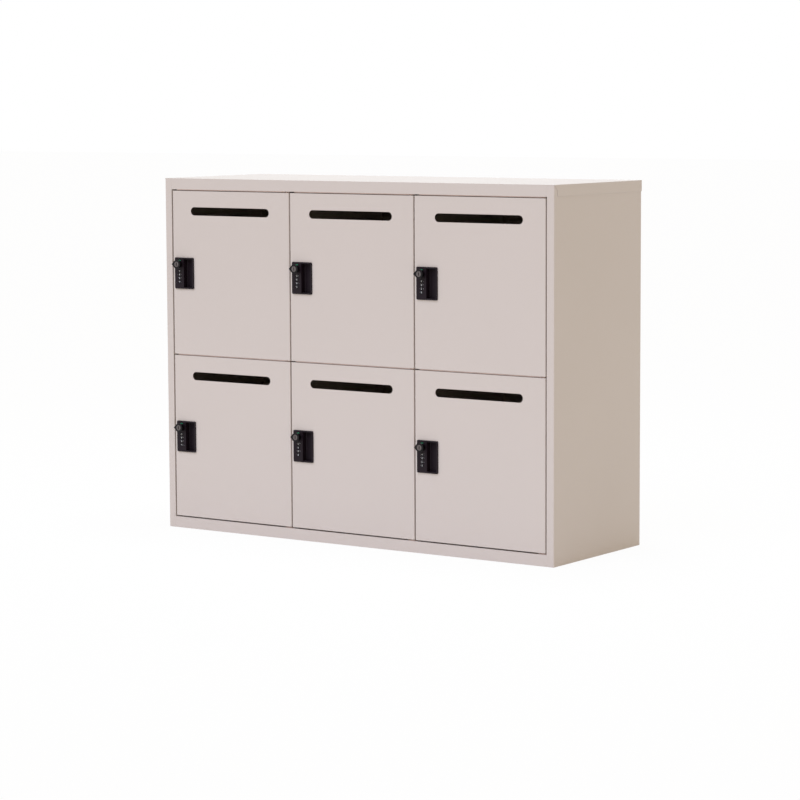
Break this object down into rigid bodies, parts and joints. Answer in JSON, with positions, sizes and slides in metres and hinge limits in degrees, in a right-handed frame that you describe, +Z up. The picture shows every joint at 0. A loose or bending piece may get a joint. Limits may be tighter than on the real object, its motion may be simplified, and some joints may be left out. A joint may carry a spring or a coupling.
{
  "type": "six-door storage cabinet",
  "caption": "Low steel cabinet with hinged letter-slot doors in three columns, each with a dial lock, a turning knob and a finger pocket.",
  "frame": {"origin": "on the floor, under the middle of the closed cabinet's bounding box", "axes": "+Z up, -Y out of the doors, +X to the right as seen from the front"},
  "size_m": [1.002, 0.3596, 0.77],
  "materials": {
    "painted_steel": "fine satin powder coat, warm grey",
    "lock_plastic": "fine-grained black moulding",
    "knob_plastic": "smooth black moulding",
    "dial_plastic": "black moulding with pale numbers",
    "plated_steel": "satin nickel plate",
    "buffer_rubber": "matt soft rubber"
  },
  "bodies": {
    "carcass": {"left_side_panel": "painted_steel", "right_side_panel": "painted_steel", "top_cap": "painted_steel", "base_tray": "painted_steel", "back_panel": "painted_steel", "left_partition": "painted_steel", "right_partition": "painted_steel", "pivot_plates": "painted_steel", "door_buffers": "buffer_rubber", "left_shelf": "painted_steel", "middle_shelf": "painted_steel", "right_shelf": "painted_steel"},
    "lower_left_leaf": {"lower_left_door": "painted_steel", "lower_left_lock_case": "lock_plastic"},
    "lower_left_latch": {"lower_left_knob": "knob_plastic", "lower_left_lock_core": "plated_steel"},
    "lower_left_wheel_1": {"lower_left_dial_1": "dial_plastic"},
    "lower_left_wheel_2": {"lower_left_dial_2": "dial_plastic"},
    "lower_left_wheel_3": {"lower_left_dial_3": "dial_plastic"},
    "lower_left_wheel_4": {"lower_left_dial_4": "dial_plastic"},
    "upper_left_leaf": {"upper_left_door": "painted_steel", "upper_left_lock_case": "lock_plastic"},
    "upper_left_latch": {"upper_left_knob": "knob_plastic", "upper_left_lock_core": "plated_steel"},
    "upper_left_wheel_1": {"upper_left_dial_1": "dial_plastic"},
    "upper_left_wheel_2": {"upper_left_dial_2": "dial_plastic"},
    "upper_left_wheel_3": {"upper_left_dial_3": "dial_plastic"},
    "upper_left_wheel_4": {"upper_left_dial_4": "dial_plastic"},
    "lower_middle_leaf": {"lower_middle_door": "painted_steel", "lower_middle_lock_case": "lock_plastic"},
    "lower_middle_latch": {"lower_middle_knob": "knob_plastic", "lower_middle_lock_core": "plated_steel"},
    "lower_middle_wheel_1": {"lower_middle_dial_1": "dial_plastic"},
    "lower_middle_wheel_2": {"lower_middle_dial_2": "dial_plastic"},
    "lower_middle_wheel_3": {"lower_middle_dial_3": "dial_plastic"},
    "lower_middle_wheel_4": {"lower_middle_dial_4": "dial_plastic"},
    "upper_middle_leaf": {"upper_middle_door": "painted_steel", "upper_middle_lock_case": "lock_plastic"},
    "upper_middle_latch": {"upper_middle_knob": "knob_plastic", "upper_middle_lock_core": "plated_steel"},
    "upper_middle_wheel_1": {"upper_middle_dial_1": "dial_plastic"},
    "upper_middle_wheel_2": {"upper_middle_dial_2": "dial_plastic"},
    "upper_middle_wheel_3": {"upper_middle_dial_3": "dial_plastic"},
    "upper_middle_wheel_4": {"upper_middle_dial_4": "dial_plastic"},
    "lower_right_leaf": {"lower_right_door": "painted_steel", "lower_right_lock_case": "lock_plastic"},
    "lower_right_latch": {"lower_right_knob": "knob_plastic", "lower_right_lock_core": "plated_steel"},
    "lower_right_wheel_1": {"lower_right_dial_1": "dial_plastic"},
    "lower_right_wheel_2": {"lower_right_dial_2": "dial_plastic"},
    "lower_right_wheel_3": {"lower_right_dial_3": "dial_plastic"},
    "lower_right_wheel_4": {"lower_right_dial_4": "dial_plastic"},
    "upper_right_leaf": {"upper_right_door": "painted_steel", "upper_right_lock_case": "lock_plastic"},
    "upper_right_latch": {"upper_right_knob": "knob_plastic", "upper_right_lock_core": "plated_steel"},
    "upper_right_wheel_1": {"upper_right_dial_1": "dial_plastic"},
    "upper_right_wheel_2": {"upper_right_dial_2": "dial_plastic"},
    "upper_right_wheel_3": {"upper_right_dial_3": "dial_plastic"},
    "upper_right_wheel_4": {"upper_right_dial_4": "dial_plastic"}
  },
  "joints": [
    {"name": "lower_left_hinge", "type": "hinge", "parent": "carcass", "child": "lower_left_leaf", "pos_m": [-0.17193, -0.15765, 0.2049], "axis": [0, 0, 1], "range_deg": [0, 95]},
    {"name": "lower_left_lock_turn", "type": "hinge", "parent": "lower_left_leaf", "child": "lower_left_latch", "pos_m": [-0.46, -0.16515, 0.2236], "axis": [0, 1, 0], "range_deg": [0, 90]},
    {"name": "lower_left_dial_1_spin", "type": "hinge", "parent": "lower_left_leaf", "child": "lower_left_wheel_1", "pos_m": [-0.46, -0.16175, 0.2082], "axis": [0, 0, 1], "continuous": true},
    {"name": "lower_left_dial_2_spin", "type": "hinge", "parent": "lower_left_leaf", "child": "lower_left_wheel_2", "pos_m": [-0.46, -0.16175, 0.20045], "axis": [0, 0, 1], "continuous": true},
    {"name": "lower_left_dial_3_spin", "type": "hinge", "parent": "lower_left_leaf", "child": "lower_left_wheel_3", "pos_m": [-0.46, -0.16175, 0.1927], "axis": [0, 0, 1], "continuous": true},
    {"name": "lower_left_dial_4_spin", "type": "hinge", "parent": "lower_left_leaf", "child": "lower_left_wheel_4", "pos_m": [-0.46, -0.16175, 0.18495], "axis": [0, 0, 1], "continuous": true},
    {"name": "upper_left_hinge", "type": "hinge", "parent": "carcass", "child": "upper_left_leaf", "pos_m": [-0.17193, -0.15765, 0.5643], "axis": [0, 0, 1], "range_deg": [0, 95]},
    {"name": "upper_left_lock_turn", "type": "hinge", "parent": "upper_left_leaf", "child": "upper_left_latch", "pos_m": [-0.46, -0.16515, 0.583], "axis": [0, 1, 0], "range_deg": [0, 90]},
    {"name": "upper_left_dial_1_spin", "type": "hinge", "parent": "upper_left_leaf", "child": "upper_left_wheel_1", "pos_m": [-0.46, -0.16175, 0.5676], "axis": [0, 0, 1], "continuous": true},
    {"name": "upper_left_dial_2_spin", "type": "hinge", "parent": "upper_left_leaf", "child": "upper_left_wheel_2", "pos_m": [-0.46, -0.16175, 0.55985], "axis": [0, 0, 1], "continuous": true},
    {"name": "upper_left_dial_3_spin", "type": "hinge", "parent": "upper_left_leaf", "child": "upper_left_wheel_3", "pos_m": [-0.46, -0.16175, 0.5521], "axis": [0, 0, 1], "continuous": true},
    {"name": "upper_left_dial_4_spin", "type": "hinge", "parent": "upper_left_leaf", "child": "upper_left_wheel_4", "pos_m": [-0.46, -0.16175, 0.54435], "axis": [0, 0, 1], "continuous": true},
    {"name": "lower_middle_hinge", "type": "hinge", "parent": "carcass", "child": "lower_middle_leaf", "pos_m": [0.14893, -0.15765, 0.2049], "axis": [0, 0, 1], "range_deg": [0, 95]},
    {"name": "lower_middle_lock_turn", "type": "hinge", "parent": "lower_middle_leaf", "child": "lower_middle_latch", "pos_m": [-0.13913, -0.16515, 0.2236], "axis": [0, 1, 0], "range_deg": [0, 90]},
    {"name": "lower_middle_dial_1_spin", "type": "hinge", "parent": "lower_middle_leaf", "child": "lower_middle_wheel_1", "pos_m": [-0.13913, -0.16175, 0.2082], "axis": [0, 0, 1], "continuous": true},
    {"name": "lower_middle_dial_2_spin", "type": "hinge", "parent": "lower_middle_leaf", "child": "lower_middle_wheel_2", "pos_m": [-0.13913, -0.16175, 0.20045], "axis": [0, 0, 1], "continuous": true},
    {"name": "lower_middle_dial_3_spin", "type": "hinge", "parent": "lower_middle_leaf", "child": "lower_middle_wheel_3", "pos_m": [-0.13913, -0.16175, 0.1927], "axis": [0, 0, 1], "continuous": true},
    {"name": "lower_middle_dial_4_spin", "type": "hinge", "parent": "lower_middle_leaf", "child": "lower_middle_wheel_4", "pos_m": [-0.13913, -0.16175, 0.18495], "axis": [0, 0, 1], "continuous": true},
    {"name": "upper_middle_hinge", "type": "hinge", "parent": "carcass", "child": "upper_middle_leaf", "pos_m": [0.14893, -0.15765, 0.5643], "axis": [0, 0, 1], "range_deg": [0, 95]},
    {"name": "upper_middle_lock_turn", "type": "hinge", "parent": "upper_middle_leaf", "child": "upper_middle_latch", "pos_m": [-0.13913, -0.16515, 0.583], "axis": [0, 1, 0], "range_deg": [0, 90]},
    {"name": "upper_middle_dial_1_spin", "type": "hinge", "parent": "upper_middle_leaf", "child": "upper_middle_wheel_1", "pos_m": [-0.13913, -0.16175, 0.5676], "axis": [0, 0, 1], "continuous": true},
    {"name": "upper_middle_dial_2_spin", "type": "hinge", "parent": "upper_middle_leaf", "child": "upper_middle_wheel_2", "pos_m": [-0.13913, -0.16175, 0.55985], "axis": [0, 0, 1], "continuous": true},
    {"name": "upper_middle_dial_3_spin", "type": "hinge", "parent": "upper_middle_leaf", "child": "upper_middle_wheel_3", "pos_m": [-0.13913, -0.16175, 0.5521], "axis": [0, 0, 1], "continuous": true},
    {"name": "upper_middle_dial_4_spin", "type": "hinge", "parent": "upper_middle_leaf", "child": "upper_middle_wheel_4", "pos_m": [-0.13913, -0.16175, 0.54435], "axis": [0, 0, 1], "continuous": true},
    {"name": "lower_right_hinge", "type": "hinge", "parent": "carcass", "child": "lower_right_leaf", "pos_m": [0.4698, -0.15765, 0.2049], "axis": [0, 0, 1], "range_deg": [0, 95]},
    {"name": "lower_right_lock_turn", "type": "hinge", "parent": "lower_right_leaf", "child": "lower_right_latch", "pos_m": [0.18173, -0.16515, 0.2236], "axis": [0, 1, 0], "range_deg": [0, 90]},
    {"name": "lower_right_dial_1_spin", "type": "hinge", "parent": "lower_right_leaf", "child": "lower_right_wheel_1", "pos_m": [0.18173, -0.16175, 0.2082], "axis": [0, 0, 1], "continuous": true},
    {"name": "lower_right_dial_2_spin", "type": "hinge", "parent": "lower_right_leaf", "child": "lower_right_wheel_2", "pos_m": [0.18173, -0.16175, 0.20045], "axis": [0, 0, 1], "continuous": true},
    {"name": "lower_right_dial_3_spin", "type": "hinge", "parent": "lower_right_leaf", "child": "lower_right_wheel_3", "pos_m": [0.18173, -0.16175, 0.1927], "axis": [0, 0, 1], "continuous": true},
    {"name": "lower_right_dial_4_spin", "type": "hinge", "parent": "lower_right_leaf", "child": "lower_right_wheel_4", "pos_m": [0.18173, -0.16175, 0.18495], "axis": [0, 0, 1], "continuous": true},
    {"name": "upper_right_hinge", "type": "hinge", "parent": "carcass", "child": "upper_right_leaf", "pos_m": [0.4698, -0.15765, 0.5643], "axis": [0, 0, 1], "range_deg": [0, 95]},
    {"name": "upper_right_lock_turn", "type": "hinge", "parent": "upper_right_leaf", "child": "upper_right_latch", "pos_m": [0.18173, -0.16515, 0.583], "axis": [0, 1, 0], "range_deg": [0, 90]},
    {"name": "upper_right_dial_1_spin", "type": "hinge", "parent": "upper_right_leaf", "child": "upper_right_wheel_1", "pos_m": [0.18173, -0.16175, 0.5676], "axis": [0, 0, 1], "continuous": true},
    {"name": "upper_right_dial_2_spin", "type": "hinge", "parent": "upper_right_leaf", "child": "upper_right_wheel_2", "pos_m": [0.18173, -0.16175, 0.55985], "axis": [0, 0, 1], "continuous": true},
    {"name": "upper_right_dial_3_spin", "type": "hinge", "parent": "upper_right_leaf", "child": "upper_right_wheel_3", "pos_m": [0.18173, -0.16175, 0.5521], "axis": [0, 0, 1], "continuous": true},
    {"name": "upper_right_dial_4_spin", "type": "hinge", "parent": "upper_right_leaf", "child": "upper_right_wheel_4", "pos_m": [0.18173, -0.16175, 0.54435], "axis": [0, 0, 1], "continuous": true}
  ]
}
